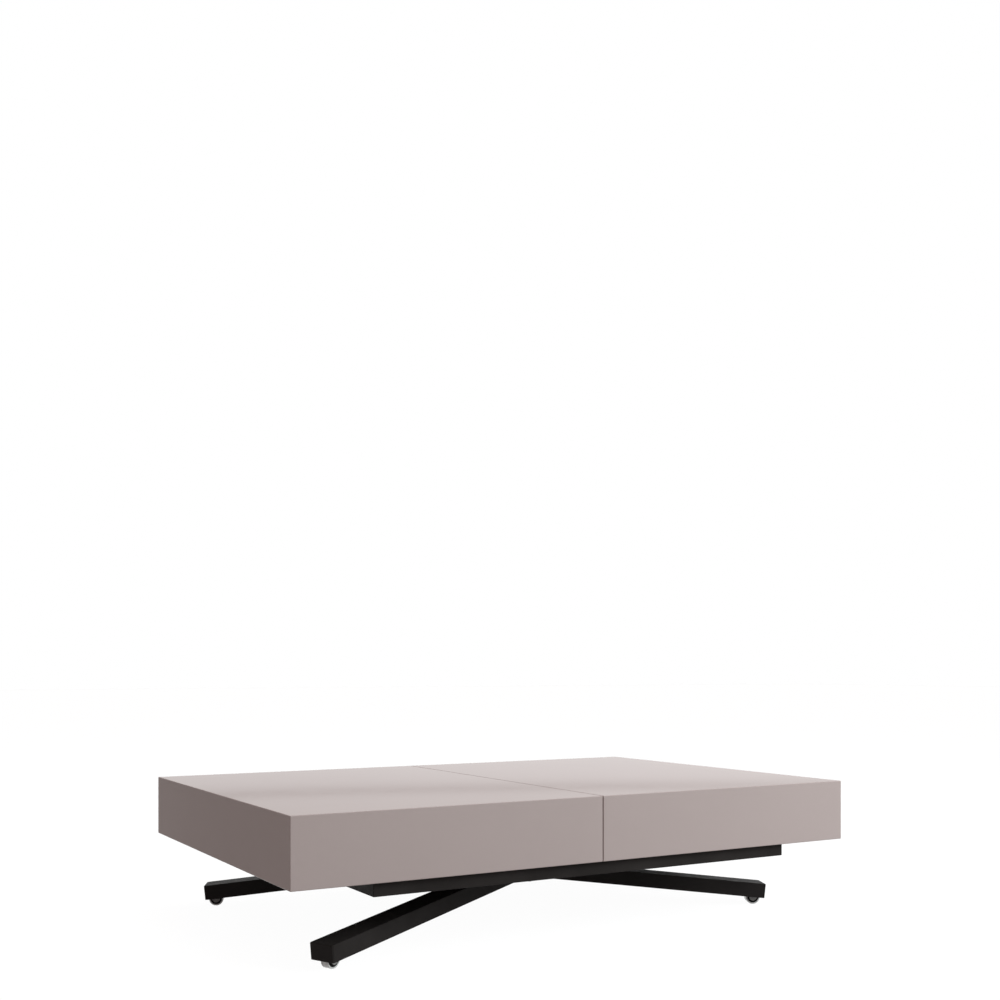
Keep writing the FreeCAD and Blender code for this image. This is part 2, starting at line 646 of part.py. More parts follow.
def strut_bracket():
    """Two plates on the strut's cross tube, and two ears under it for the release lever."""
    y0 = STRUT_PLATE_Y
    y1 = y0 + STRUT_PLATE_THICKNESS
    reach = STRUT_EYE_RADIUS
    plate = lug(STRUT_TOP, -AXIS_X, STRUT_BEAM_X - STRUT_TOP.x, reach, y0, y1)
    plate = plate.cut(rod(STRUT_TOP, STRUT_PIN_DIAMETER / 2 + RUNNING, y0, y1))
    plates = [plate, mirror_y(plate)]
    inner = LEVER_WIDTH / 2 + LEVER_SIDE_GAP
    for y in (LEVER_Y - inner - LEVER_EAR_THICKNESS, LEVER_Y + inner):
        ear = lug(LEVER_PIVOT, -AXIS_Z, CROSS_TUBE_BOTTOM - LEVER_PIVOT.z, LEVER_EAR_RADIUS,
                  y, y + LEVER_EAR_THICKNESS)
        ear = ear.cut(rod(LEVER_PIVOT, LEVER_PIN_DIAMETER / 2 + RUNNING, y, y + LEVER_EAR_THICKNESS))
        plates.append(ear)
    return group(plates)


def bracket_pins():
    """Strut's upper pin and the release lever's pin."""
    half = LEVER_WIDTH / 2 + LEVER_SIDE_GAP + LEVER_EAR_THICKNESS + SHAFT_OVERHANG
    return group([
        rod(STRUT_TOP, STRUT_PIN_DIAMETER / 2, -STRUT_PIN_HALF, STRUT_PIN_HALF),
        rod(LEVER_PIVOT, LEVER_PIN_DIAMETER / 2, LEVER_Y - half, LEVER_Y + half)])


def along_strut(profile):
    """Turn radius and distance pairs about the strut's axis, measured from its upper pin."""
    points = [Vector(radius, 0, distance) for radius, distance in profile]
    solid = Part.Face(Part.makePolygon(points + points[:1])).revolve(Vector(0, 0, 0), AXIS_Z, 360)
    solid.Placement = FreeCAD.Placement(STRUT_TOP, FreeCAD.Rotation(AXIS_Z, STRUT_LINE))
    return solid


def strut_eye(centre, outward, back):
    """Block at one end of the strut, and the hole through it for the pin."""
    half = STRUT_EYE_WIDTH / 2
    eye = lug(centre, outward, back, STRUT_EYE_RADIUS, -half, half)
    return eye, rod(centre, STRUT_PIN_DIAMETER / 2 + RUNNING, -half, half)


def strut_cylinder():
    """Pressure tube with a closed head, an eye above it and a gland below."""
    outer = STRUT_TUBE_DIAMETER / 2
    bore = STRUT_BORE_RADIUS
    gland = STRUT_ROD_DIAMETER / 2 + RUNNING
    head = STRUT_TUBE_START + STRUT_TUBE_WALL
    body = along_strut([
        (0, STRUT_TUBE_START), (outer, STRUT_TUBE_START), (outer, STRUT_TUBE_END),
        (gland, STRUT_TUBE_END), (gland, STRUT_TUBE_END - STRUT_GLAND_LENGTH),
        (bore, STRUT_TUBE_END - STRUT_GLAND_LENGTH), (bore, head), (0, head)])
    eye, hole = strut_eye(STRUT_TOP, -STRUT_LINE, STRUT_TUBE_START)
    return body.fuse(eye).cut(hole)


def strut_rod():
    """Piston rod, its piston inside the tube and its eye on the lower pin."""
    length = STRUT_LENGTH - STRUT_EYE_BACK
    radius = STRUT_ROD_DIAMETER / 2
    piston = STRUT_BORE_RADIUS - 2 * RUNNING
    stop = STRUT_PISTON_AT
    body = along_strut([
        (0, stop - STRUT_PISTON_LENGTH), (piston, stop - STRUT_PISTON_LENGTH), (piston, stop), (radius, stop),
        (radius, length), (0, length)])
    eye, hole = strut_eye(STRUT_LOW, STRUT_LINE, STRUT_EYE_BACK)
    return body.fuse(eye).cut(hole)


def lever_path():
    """Middle line of the release lever: strut head, pivot, bend under the frame, end of the blade."""
    half = LEVER_THICKNESS / 2
    low = FRAME_BOTTOM - LEVER_UNDER_FRAME
    rise = LEVER_PIVOT.z - low
    tip = Vector(STRUT_TOP.x + STRUT_EYE_RADIUS + half, LEVER_Y, STRUT_TOP.z - half)
    knee = Vector(STRUT_BEAM_X - LEVER_THICKNESS, LEVER_Y, LEVER_PIVOT.z)
    bend = Vector(LEVER_PIVOT.x + rise, LEVER_Y, low)
    end = Vector(FRAME_HALF_LENGTH + LEVER_REACH, LEVER_Y, low)
    return [tip, knee, LEVER_PIVOT, bend, end]


def release_lever():
    """Bent bar on its own pin: the inner end works the strut's valve, the outer end is pulled up."""
    y0 = -LEVER_WIDTH / 2
    y1 = LEVER_WIDTH / 2
    bar = bent_bar(lever_path(), LEVER_THICKNESS, y0, y1)
    collar = Part.makeCylinder(LEVER_PIN_DIAMETER, LEVER_WIDTH, LEVER_PIVOT + AXIS_Y * y0, AXIS_Y)
    hole = Part.makeCylinder(LEVER_PIN_DIAMETER / 2 + RUNNING, LEVER_WIDTH, LEVER_PIVOT + AXIS_Y * y0, AXIS_Y)
    return bar.fuse(collar).cut(hole).removeSplitter()


def lever_grip():
    """Moulded grip pushed over the lever's blade."""
    end = lever_path()[-1]
    half = GRIP_THICKNESS / 2
    side = GRIP_WIDTH / 2
    start = end.x - GRIP_LENGTH
    grip = block(start, end.x + GRIP_END, end.y - side, end.y + side, end.z - half, end.z + half)
    long_edges = [edge for edge in grip.Edges if edge.tangentAt(0).cross(AXIS_X).Length < PARALLEL]
    grip = grip.makeFillet(GRIP_ROUNDING, long_edges)
    half = LEVER_THICKNESS / 2
    side = LEVER_WIDTH / 2
    return grip.cut(block(start, end.x, end.y - side, end.y + side, end.z - half, end.z + half))


def build_top():
    for side in SIDE_X:
        for name, board in top_half(side).items():
            save(side + "_" + name, board)
        save(side + "_slide_rails", slide_rails(side))
        save(side + "_rail_guides", rail_guides(side))
    save("alignment_dowels", dowels())
    for level, name in enumerate(LEAF_NAMES):
        save(name, leaf(level))
    save("leaf_pads", leaf_pads())


def build_frame():
    for side in SIDE_Y:
        save(side + "_side_rail", frame_side(side))
    for side in SIDE_X:
        save(side + "_end_bar", frame_end(side))
    save("cross_tubes", group([cross_tube(-CROSS_TUBE_X), cross_tube(CROSS_TUBE_X)]))
    save("strut_cross_tube", cross_tube(STRUT_BEAM_X + CROSS_TUBE_WIDTH / 2))
    save("guide_channels", group([guide_channel("front"), guide_channel("rear")]))
    save("pivot_brackets", pivot_brackets())
    save("strut_bracket", strut_bracket())
    save("bracket_pins", bracket_pins())


def build_leg_pair(pair, foot_y, toward_right):
    """Both lower legs of one pair, with their caps, forks, axles and wheels."""
    rear = leg_placement(foot_y, toward_right)
    mitred = pair == "inner"
    leg_rear = leg(rear, mitred)
    save(pair + "_leg_rear", leg_rear)
    save(pair + "_leg_front", mirror_y(leg_rear))
    cap = leg_cap(rear)
    save(pair + "_leg_caps", group([cap, mirror_y(cap)]))
    fork = wheel_fork(rear)
    save(pair + "_wheel_forks", group([fork, mirror_y(fork)]))
    axle = wheel_axle(rear)
    save(pair + "_wheel_axles", group([axle, mirror_y(axle)]))
    for name, piece in (("wheel_rim", wheel_rim(rear)), ("wheel_tyre", wheel_tyre(rear))):
        save(pair + "_rear_" + name, piece)
        save(pair + "_front_" + name, mirror_y(piece))


def build_scissor():
    build_leg_pair("outer", OUTER_FOOT_Y, True)
    build_leg_pair("inner", INNER_FOOT_Y, False)
    sleeve = hub_sleeve(OUTER_HUB_START, OUTER_HUB_END)
    save("outer_hub_sleeves", group([sleeve, mirror_y(sleeve)]))
    save("inner_hub_sleeve", hub_sleeve(-INNER_HUB_END, INNER_HUB_END))
    axle_half = OUTER_HUB_END + SHAFT_OVERHANG
    save("centre_axle", rod(CENTRE, CENTRE_AXLE_DIAMETER / 2, -axle_half, axle_half))
    arm = upper_arm(OUTER_ARM_Y, OUTER_PIVOT)
    save("outer_upper_arms", group([arm, mirror_y(arm)]))
    arm = upper_arm(INNER_ARM_Y, INNER_PIVOT)
    save("inner_upper_arms", group([arm, mirror_y(arm)]))
    save("pivot_shaft", rod(OUTER_PIVOT, PIVOT_SHAFT_DIAMETER / 2, -PIVOT_SHAFT_HALF, PIVOT_SHAFT_HALF))
    shaft_half = ROLLER_Y + ROLLER_WIDTH + SHAFT_OVERHANG
    save("roller_shaft", rod(INNER_PIVOT, PIVOT_SHAFT_DIAMETER / 2, -shaft_half, shaft_half))
    for side in SIDE_Y:
        save(side + "_guide_roller", guide_roller(side))


def build_strut():
    save("crank_plates", crank_plates())
    save("strut_lower_pin", rod(STRUT_LOW, STRUT_PIN_DIAMETER / 2, -STRUT_PIN_HALF, STRUT_PIN_HALF))
    save("strut_cylinder", strut_cylinder())
    save("strut_rod", strut_rod())
    save("release_lever", release_lever())
    save("lever_grip", lever_grip())


def main():
    os.makedirs("parts", exist_ok=True)
    build_top()
    build_frame()
    build_scissor()
    build_strut()
    print("centre pivot height", round(CENTRE_Z, 3))
    print("strut upper pin", STRUT_TOP, "lower pin", STRUT_LOW)
    print("lever pin", LEVER_PIVOT)


main()
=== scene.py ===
"""Convertible coffee and dining table: finishes, small fittings, studio and camera.

Metres, in the model's own frame: X along the table, Y to the back, Z up, the floor at Z 0.
"""

import json
import math

import bmesh
import bpy
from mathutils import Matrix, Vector


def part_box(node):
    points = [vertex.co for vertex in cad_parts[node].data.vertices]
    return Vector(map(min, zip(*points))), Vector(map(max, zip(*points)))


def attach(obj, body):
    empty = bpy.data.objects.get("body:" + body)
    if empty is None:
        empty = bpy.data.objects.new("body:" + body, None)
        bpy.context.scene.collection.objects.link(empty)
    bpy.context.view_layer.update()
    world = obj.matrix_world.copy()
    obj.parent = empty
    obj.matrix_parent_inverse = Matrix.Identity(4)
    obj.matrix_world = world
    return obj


# Camera, from the photograph's vanishing points: level, with the frame shifted up
CAMERA_PLACE = Vector((-1.2728, -2.2128, 0.5007))
CAMERA_TILT_DEG = 90.0
CAMERA_AZIMUTH_DEG = -30.2
CAMERA_LENS = 43.6
CAMERA_SHIFT_Y = 0.1693

# Floor: what light bounces off, and the lit share and the clear share of what is seen
FLOOR_SIZE = 60.0
FLOOR_COLOUR = (0.4, 0.4, 0.4)
FLOOR_SHADOW = (0.08, 0.08, 0.08)
FLOOR_CLEAR = (0.97, 0.97, 0.97)

# Surroundings: the fill, and a darker band that reflections show, as its plane and (height, tone) stops
FILL_COLOUR = (1.0, 0.885, 0.857)
FILL_STRENGTH = 0.4
BAND_NORMAL = (0.0142, -0.0083, 1.0)
BAND_STOPS = ((0.0922, 1.0), (0.0972, 0.5), (0.1022, 1.0))

# Lamps: the key at the front right and a larger one overhead
KEY_PLACE = (2.6, -3.0, 1.9)
KEY_SIZE = 2.2
KEY_POWER = 135.0
KEY_COLOUR = (0.94, 1.02, 1.04)
TOP_PLACE = (0.8, 0.6, 3.2)
TOP_SIZE = 3.0
TOP_POWER = 52.0
TOP_COLOUR = (1.0, 1.0, 1.0)
LIGHT_AIM = (0.0, 0.0, 0.2)

# Colours, linear
LACQUER = (0.447, 0.376, 0.362)
STEEL_BLACK = (0.0265, 0.0235, 0.0225)
STEEL_BRIGHT = (0.56, 0.55, 0.54)
STEEL_DULL = (0.36, 0.355, 0.345)
ALUMINIUM = (0.62, 0.62, 0.63)
NYLON = (0.74, 0.72, 0.67)
FELT = (0.05, 0.05, 0.052)
BEECH_DARK = (0.40, 0.24, 0.13)
BEECH_LIGHT = (0.60, 0.42, 0.26)
PLASTIC_BLACK = (0.005, 0.005, 0.005)
TYRE = (0.72, 0.715, 0.70)

# Span of a noise field over which colour and roughness change
NOISE_LOW = 0.3
NOISE_HIGH = 0.7

# Edge rounding of the boards, of the frame and leg tubes and of the small metal pieces
BOARD_ARRIS = 0.0002
TUBE_ARRIS = 0.0012
METAL_ARRIS = 0.0005
ARRIS_SEGMENTS = 3
TUBE_ENDINGS = ("_side_rail", "_end_bar", "_leg_front", "_leg_rear", "_leg_caps")
SHARP_EDGE = math.radians(30)
FLAT_FACE = math.radians(0.5)
MERGE = 1e-5

# Retaining rings on the shaft ends: the breadth between the eyes is given as shares of the rise
RING_FROM_END = 0.0007
RING_THICKNESS = 0.0012
RING_RISE = 0.0026
RING_SLIM = 0.55
RING_SWELL = 0.4
RING_SUNK = 0.0003
RING_GAP = math.radians(50)
RING_STEPS = 32
RING_EYE_STEPS = 2
SHAFT_SEARCH = 0.011

# Rivet heads on the wheel forks: seat from the wheel's middle plane, and (radius, height) pairs
RIVET_FACE = 0.0105
RIVET_PROFILE = ((0.003, 0.0), (0.0027, 0.0002), (0.0018, 0.00035), (0.0008, 0.0004))

# Screws that hold the slide rails to the panels: (radius, height) pairs, recess lobes and places
SCREW_PROFILE = ((0.0032, 0.0), (0.0032, 0.0006), (0.0029, 0.0012), (0.0021, 0.0017), (0.0015, 0.0018))
SCREW_RECESS = ((0.0011, 0.0018), (0.0008, 0.0008))
SCREW_LOBES = 4
SCREW_LOBE_DEPTH = 0.35
SCREW_AXIS = Vector((0.0, 0.0, -1.0))
SCREW_FLANGE = 0.005
SCREW_FROM_WEB = 0.0075
SCREW_FIRST = 0.06
SCREW_PITCH = 0.08

# Steps round a rivet's or a screw's head
ROUND_STEPS = 24

# Weld beads: trough, swell and tip are shares of the radius
BEAD_RADIUS = 0.0022
BEAD_RIPPLE = 0.0034
BEAD_TROUGH = 0.8
BEAD_SWELL = 0.2
BEAD_TIP = 0.35
BEAD_END = 0.003
BEAD_STEP = 0.0008
BEAD_SIDES = 8
BEAD_REFERENCE = Vector((0.0, 1.0, 0.0))
BEAD_PARALLEL = 0.9
ARM_WELD_ANGLE = math.radians(66)

# Indices of a point's coordinates
X = 0
Y = 1

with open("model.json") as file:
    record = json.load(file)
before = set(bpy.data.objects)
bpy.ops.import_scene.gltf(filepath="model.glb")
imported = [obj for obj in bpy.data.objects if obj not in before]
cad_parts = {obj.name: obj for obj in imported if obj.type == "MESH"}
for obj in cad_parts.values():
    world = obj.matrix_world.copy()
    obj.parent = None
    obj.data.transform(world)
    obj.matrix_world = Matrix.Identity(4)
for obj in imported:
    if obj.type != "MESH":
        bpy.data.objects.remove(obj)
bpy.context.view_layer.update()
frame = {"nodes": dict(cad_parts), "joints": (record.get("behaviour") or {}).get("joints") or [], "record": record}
nodes = frame["nodes"]
joints = frame["joints"]
slot_of = {part["node"]: part["material_slot"] for part in frame["record"]["subparts"]}
bodies = frame["record"]["behaviour"]["bodies"]
body_of = {node: body for body, members in bodies.items() for node in members}
joint_place = {joint["name"]: Vector(joint["pos_m"]) for joint in joints if "pos_m" in joint}
joint_axis = {joint["name"]: Vector(joint["axis"]) for joint in joints}


# Materials
class Finish:
    """A principled material and short calls for the nodes that drive it."""

    def __init__(self, name, roughness, metallic=0.0):
        self.material = bpy.data.materials.new(name)
        self.material.use_nodes = True
        self.tree = self.material.node_tree
        self.shader = self.tree.nodes["Principled BSDF"]
        self.shader.inputs["Roughness"].default_value = roughness
        self.shader.inputs["Metallic"].default_value = metallic
        self.place = self.tree.nodes.new("ShaderNodeTexCoord").outputs["Object"]

    def noise(self, scale, detail, stretch=(1.0, 1.0, 1.0)):
        """Noise of so many waves to the metre, stretched along the axes."""
        mapping = self.tree.nodes.new("ShaderNodeMapping")
        mapping.inputs["Scale"].default_value = stretch
        self.tree.links.new(self.place, mapping.inputs["Vector"])
        texture = self.tree.nodes.new("ShaderNodeTexNoise")
        texture.inputs["Scale"].default_value = scale
        texture.inputs["Detail"].default_value = detail
        self.tree.links.new(mapping.outputs["Vector"], texture.inputs["Vector"])
        return texture.outputs["Fac"]

    def colour(self, field, dark, light):
        """Base colour between two tones."""
        ramp = self.tree.nodes.new("ShaderNodeValToRGB")
        ramp.color_ramp.elements[0].position = NOISE_LOW
        ramp.color_ramp.elements[0].color = (*dark, 1.0)
        ramp.color_ramp.elements[1].position = NOISE_HIGH
        ramp.color_ramp.elements[1].color = (*light, 1.0)
        self.tree.links.new(field, ramp.inputs["Fac"])
        self.tree.links.new(ramp.outputs["Color"], self.shader.inputs["Base Color"])

    def vary_roughness(self, field, low, high):
        """Roughness between two values."""
        span = self.tree.nodes.new("ShaderNodeMapRange")
        span.inputs["From Min"].default_value = NOISE_LOW
        span.inputs["From Max"].default_value = NOISE_HIGH
        span.inputs["To Min"].default_value = low
        span.inputs["To Max"].default_value = high
        self.tree.links.new(field, span.inputs["Value"])
        self.tree.links.new(span.outputs["Result"], self.shader.inputs["Roughness"])

    def bump(self, field, strength, depth):
        """Relief of so many metres at full strength."""
        node = self.tree.nodes.new("ShaderNodeBump")
        node.inputs["Strength"].default_value = strength
        node.inputs["Distance"].default_value = depth
        self.tree.links.new(field, node.inputs["Height"])
        self.tree.links.new(node.outputs["Normal"], self.shader.inputs["Normal"])

    def set(self, **values):
        """Uniform values on the shader's own sockets, with _ for a space in their names."""
        for name, value in values.items():
            self.shader.inputs[name.replace("_", " ")].default_value = value


def shade(colour, factor):
    """A darker or lighter version of a colour."""
    return tuple(channel * factor for channel in colour)


def lacquered_board():
    """Smooth sprayed lacquer: soft drift of tone, faint orange peel, a sheen at low angles only."""
    finish = Finish("lacquered_board", roughness=0.04)
    finish.set(Specular_IOR_Level=0.0075)
    drift = finish.noise(scale=3.0, detail=4.0)
    finish.colour(drift, shade(LACQUER, 0.985), shade(LACQUER, 1.015))
    finish.vary_roughness(finish.noise(scale=22.0, detail=5.0), low=0.03, high=0.045)
    finish.bump(finish.noise(scale=330.0, detail=2.0), strength=0.02, depth=0.0002)
    return finish.material


def black_steel():
    """Powder coat: fine even grain."""
    finish = Finish("black_steel", roughness=0.45)
    finish.set(Specular_IOR_Level=0.03)
    drift = finish.noise(scale=14.0, detail=4.0)
    finish.colour(drift, shade(STEEL_BLACK, 0.85), shade(STEEL_BLACK, 1.15))
    finish.vary_roughness(finish.noise(scale=60.0, detail=4.0), low=0.40, high=0.52)
    finish.bump(finish.noise(scale=1100.0, detail=3.0), strength=0.16, depth=0.0003)
    return finish.material


def bright_steel():
    """Zinc-plated steel with turning marks."""
    finish = Finish("bright_steel", roughness=0.3, metallic=1.0)
    plating = finish.noise(scale=40.0, detail=4.0)
    finish.colour(plating, shade(STEEL_BRIGHT, 0.82), shade(STEEL_BRIGHT, 1.1))
    finish.vary_roughness(finish.noise(scale=160.0, detail=4.0), low=0.22, high=0.38)
    marks = finish.noise(scale=900.0, detail=2.0, stretch=(1.0, 0.15, 1.0))
    finish.bump(marks, strength=0.08, depth=0.0002)
    return finish.material


def dull_steel():
    """Grey passivated sheet of the wheel forks."""
    finish = Finish("dull_steel", roughness=0.5)
    finish.set(Specular_IOR_Level=0.1)
    patches = finish.noise(scale=90.0, detail=4.0)
    finish.colour(patches, shade(STEEL_DULL, 0.85), shade(STEEL_DULL, 1.12))
    finish.vary_roughness(finish.noise(scale=200.0, detail=3.0), low=0.42, high=0.58)
    finish.bump(finish.noise(scale=1200.0, detail=2.0), strength=0.08, depth=0.0002)
    return finish.material


def rail_aluminium():
    """Anodised extrusion with drawing lines along it."""
    finish = Finish("rail_aluminium", roughness=0.34, metallic=1.0)
    streaks = finish.noise(scale=30.0, detail=3.0, stretch=(0.05, 1.0, 1.0))
    finish.colour(streaks, shade(ALUMINIUM, 0.9), shade(ALUMINIUM, 1.06))
    sheen = finish.noise(scale=240.0, detail=3.0, stretch=(0.04, 1.0, 1.0))
    finish.vary_roughness(sheen, low=0.26, high=0.42)
    lines = finish.noise(scale=700.0, detail=2.0, stretch=(0.02, 1.0, 1.0))
    finish.bump(lines, strength=0.08, depth=0.0002)
    return finish.material


def nylon():
    """Natural nylon, moulded."""
    finish = Finish("nylon", roughness=0.42)
    drift = finish.noise(scale=18.0, detail=4.0)
    finish.colour(drift, shade(NYLON, 0.95), shade(NYLON, 1.03))
    finish.vary_roughness(finish.noise(scale=90.0, detail=3.0), low=0.36, high=0.48)
    finish.bump(finish.noise(scale=800.0, detail=2.0), strength=0.08, depth=0.0002)
    return finish.material


def felt():
    """Dark pressed fibre."""
    finish = Finish("felt", roughness=0.95)
    fibres = finish.noise(scale=900.0, detail=6.0)
    finish.colour(fibres, shade(FELT, 0.6), shade(FELT, 1.5))
    finish.bump(finish.noise(scale=1500.0, detail=6.0), strength=0.6, depth=0.0006)
    finish.set(Sheen_Weight=0.4)
    return finish.material


def beech():
    """Turned dowel: grain along it."""
    finish = Finish("beech", roughness=0.55)
    grain = finish.noise(scale=260.0, detail=5.0, stretch=(0.06, 1.0, 1.0))
    finish.colour(grain, BEECH_DARK, BEECH_LIGHT)
    finish.vary_roughness(finish.noise(scale=300.0, detail=3.0), low=0.48, high=0.62)
    pores = finish.noise(scale=600.0, detail=4.0, stretch=(0.05, 1.0, 1.0))
    finish.bump(pores, strength=0.2, depth=0.0003)
    return finish.material


def black_plastic():
    """Moulded black plastic with a fine spark texture."""
    finish = Finish("black_plastic", roughness=0.4)
    finish.set(Specular_IOR_Level=0.05)
    drift = finish.noise(scale=50.0, detail=3.0)
    finish.colour(drift, shade(PLASTIC_BLACK, 0.8), shade(PLASTIC_BLACK, 1.3))
    finish.vary_roughness(finish.noise(scale=200.0, detail=3.0), low=0.34, high=0.48)
    finish.bump(finish.noise(scale=1800.0, detail=2.0), strength=0.15, depth=0.0002)
    return finish.material


def grey_tyre():
    """Pale grey polyurethane tread, worn smooth."""
    finish = Finish("grey_tyre", roughness=0.12)
    finish.set(Coat_Weight=0.5, Coat_Roughness=0.08)
    scuffs = finish.noise(scale=120.0, detail=5.0)
    finish.colour(scuffs, shade(TYRE, 0.9), shade(TYRE, 1.06))
    finish.vary_roughness(finish.noise(scale=260.0, detail=4.0), low=0.1, high=0.2)
    finish.bump(finish.noise(scale=900.0, detail=3.0), strength=0.05, depth=0.0002)
    return finish.material


MAKERS = (lacquered_board, black_steel, bright_steel, dull_steel, rail_aluminium, nylon, felt, beech,
          black_plastic, grey_tyre)
finishes = {maker.__name__: maker() for maker in MAKERS}


# The frame's own pieces: finish and rounded edges
def arris_width(node):
    """How far a piece's sharp edges are rounded."""
    if node.endswith(TUBE_ENDINGS):
        return TUBE_ARRIS
    return BOARD_ARRIS if slot_of[node] == "lacquered_board" else METAL_ARRIS


def dress(node):
    """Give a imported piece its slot's finish, or the forks a duller one, and soften its sharp edges."""
    piece = nodes[node]
    piece.data.materials.clear()
    piece.data.materials.append(finishes["dull_steel" if node.endswith("_forks") else slot_of[node]])
    weld = piece.modifiers.new("merge", "WELD")
    weld.merge_threshold = MERGE
    flat = piece.modifiers.new("flat_faces", "DECIMATE")
    flat.decimate_type = "DISSOLVE"
    flat.angle_limit = FLAT_FACE
    arris = piece.modifiers.new("arris", "BEVEL")
    arris.width = arris_width(node)
    arris.segments = ARRIS_SEGMENTS
    arris.limit_method = "ANGLE"
    arris.angle_limit = SHARP_EDGE
    normals = piece.modifiers.new("normals", "WEIGHTED_NORMAL")
    normals.keep_sharp = True


for name in nodes:
    dress(name)


# Small fittings
def add_piece(name, mesh_data, body, slot, finish=None):
    """Make a bmesh into a piece that rides on a body, with its slot's finish unless another is named."""
    bmesh.ops.recalc_face_normals(mesh_data, faces=mesh_data.faces)
    mesh = bpy.data.meshes.new(name)
    mesh_data.to_mesh(mesh)
    mesh_data.free()
    mesh.shade_smooth()
    mesh.set_sharp_from_angle(angle=SHARP_EDGE)
    mesh.materials.append(finishes[finish or slot])
    piece = bpy.data.objects.new(name, mesh)
    bpy.context.scene.collection.objects.link(piece)
    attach(piece, body)


def skin(mesh_data, loops):
    """Quads between neighbouring loops of points, with a cap on the first and on the last loop."""
    rows = [[mesh_data.verts.new(point) for point in loop] for loop in loops]
    count = len(rows[0])
    for row, after in zip(rows, rows[1:]):
        for i in range(count):
            j = (i + 1) % count
            mesh_data.faces.new((row[i], row[j], after[j], after[i]))
    mesh_data.faces.new(rows[0])
    mesh_data.faces.new(rows[-1])


def positive_reach(node, axis):
    """Least and greatest coordinate along an axis of a node's points on its positive side."""
    values = [vertex.co[axis] for vertex in nodes[node].data.vertices if vertex.co[axis] > 0]
    return min(values), max(values)


def retaining_ring(mesh_data, place, end, side, radius):
    """C-shaped spring ring near a shaft's end, swelling away from its gap, with a wider eye at each tip."""
    near = end - side * RING_FROM_END
    far = near - side * RING_THICKNESS
    inner = radius - RING_SUNK
    loops = []
    for step in range(RING_STEPS + 1):
        share = step / RING_STEPS
        angle = RING_GAP / 2 + (2 * math.pi - RING_GAP) * share - math.pi / 2
        at_eye = min(step, RING_STEPS - step) <= RING_EYE_STEPS
        breadth = 1.0 if at_eye else RING_SLIM + RING_SWELL * math.sin(math.pi * share)
        outer = radius + RING_RISE * breadth
        ray = Vector((math.cos(angle), 0.0, math.sin(angle)))
        corners = ((inner, near), (outer, near), (outer, far), (inner, far))
        loops.append([Vector((place.x, y, place.z)) + ray * reach for reach, y in corners])
    skin(mesh_data, loops)


def shaft_reach(node, place):
    """Y of both ends, and the radius, of the shaft of a node that passes a place along Y."""
    along = []
    off_axis = []
    for vertex in nodes[node].data.vertices:
        off = math.hypot(vertex.co.x - place.x, vertex.co.z - place.z)
        if off < SHAFT_SEARCH:
            along.append(vertex.co.y)
            off_axis.append(off)
    return min(along), max(along), max(off_axis)


def add_rings(name, node, joint):
    """A retaining ring at each end of the shaft that a joint turns about."""
    place = joint_place[joint]
    low, high, radius = shaft_reach(node, place)
    rings = bmesh.new()
    retaining_ring(rings, place, low, -1, radius)
    retaining_ring(rings, place, high, 1, radius)
    add_piece(name, rings, body_of[node], "bright_steel")


def turned(mesh_data, base, axis, profile, recess=()):
    """Turned solid on a face from (radius, height) pairs, then the pairs of its lobed recess, if any."""
    across = axis.orthogonal().normalized()
    up = axis.cross(across)
    loops = []
    for index, (radius, height) in enumerate(profile + recess):
        lobe_depth = SCREW_LOBE_DEPTH if index >= len(profile) else 0.0
        loop = []
        for step in range(ROUND_STEPS):
            angle = 2 * math.pi * step / ROUND_STEPS
            reach = radius * (1 + lobe_depth * math.cos(SCREW_LOBES * angle))
            ray = across * math.cos(angle) + up * math.sin(angle)
            loop.append(base + axis * height + ray * reach)
        loops.append(loop)
    skin(mesh_data, loops)


def add_rivets(pair):
    """Rivet heads on both ears of a leg pair's two wheel forks."""
    heads = bmesh.new()
    for side in ("front", "rear"):
        joint = f"{pair}_{side}_wheel_spin"
        for way in (1, -1):
            axis = joint_axis[joint] * way
            turned(heads, joint_place[joint] + axis * RIVET_FACE, axis, RIVET_PROFILE)
    add_piece(f"{pair}_fork_rivets", heads, f"{pair}_legs", "bright_steel", "dull_steel")


def add_rail_screws(side, way):
    """Pan-head screws under the rails' upper flanges, to the left and right of the web in turn."""
    node = f"{side}_slide_rails"
    low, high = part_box(node)
    middle = sum(positive_reach(node, Y)) / 2
    length = high.x if way > 0 else -low.x
    count = int((length - SCREW_FIRST) / SCREW_PITCH) + 1
    screws = bmesh.new()
    for rail in (-middle, middle):
        for index in range(count):
            offset = SCREW_FROM_WEB if index % 2 else -SCREW_FROM_WEB
            x = way * (SCREW_FIRST + index * SCREW_PITCH)
            place = Vector((x, rail + offset, high.z - SCREW_FLANGE))
            turned(screws, place, SCREW_AXIS, SCREW_PROFILE, SCREW_RECESS)
    add_piece(f"{side}_rail_screws", screws, f"{side}_half", "bright_steel")


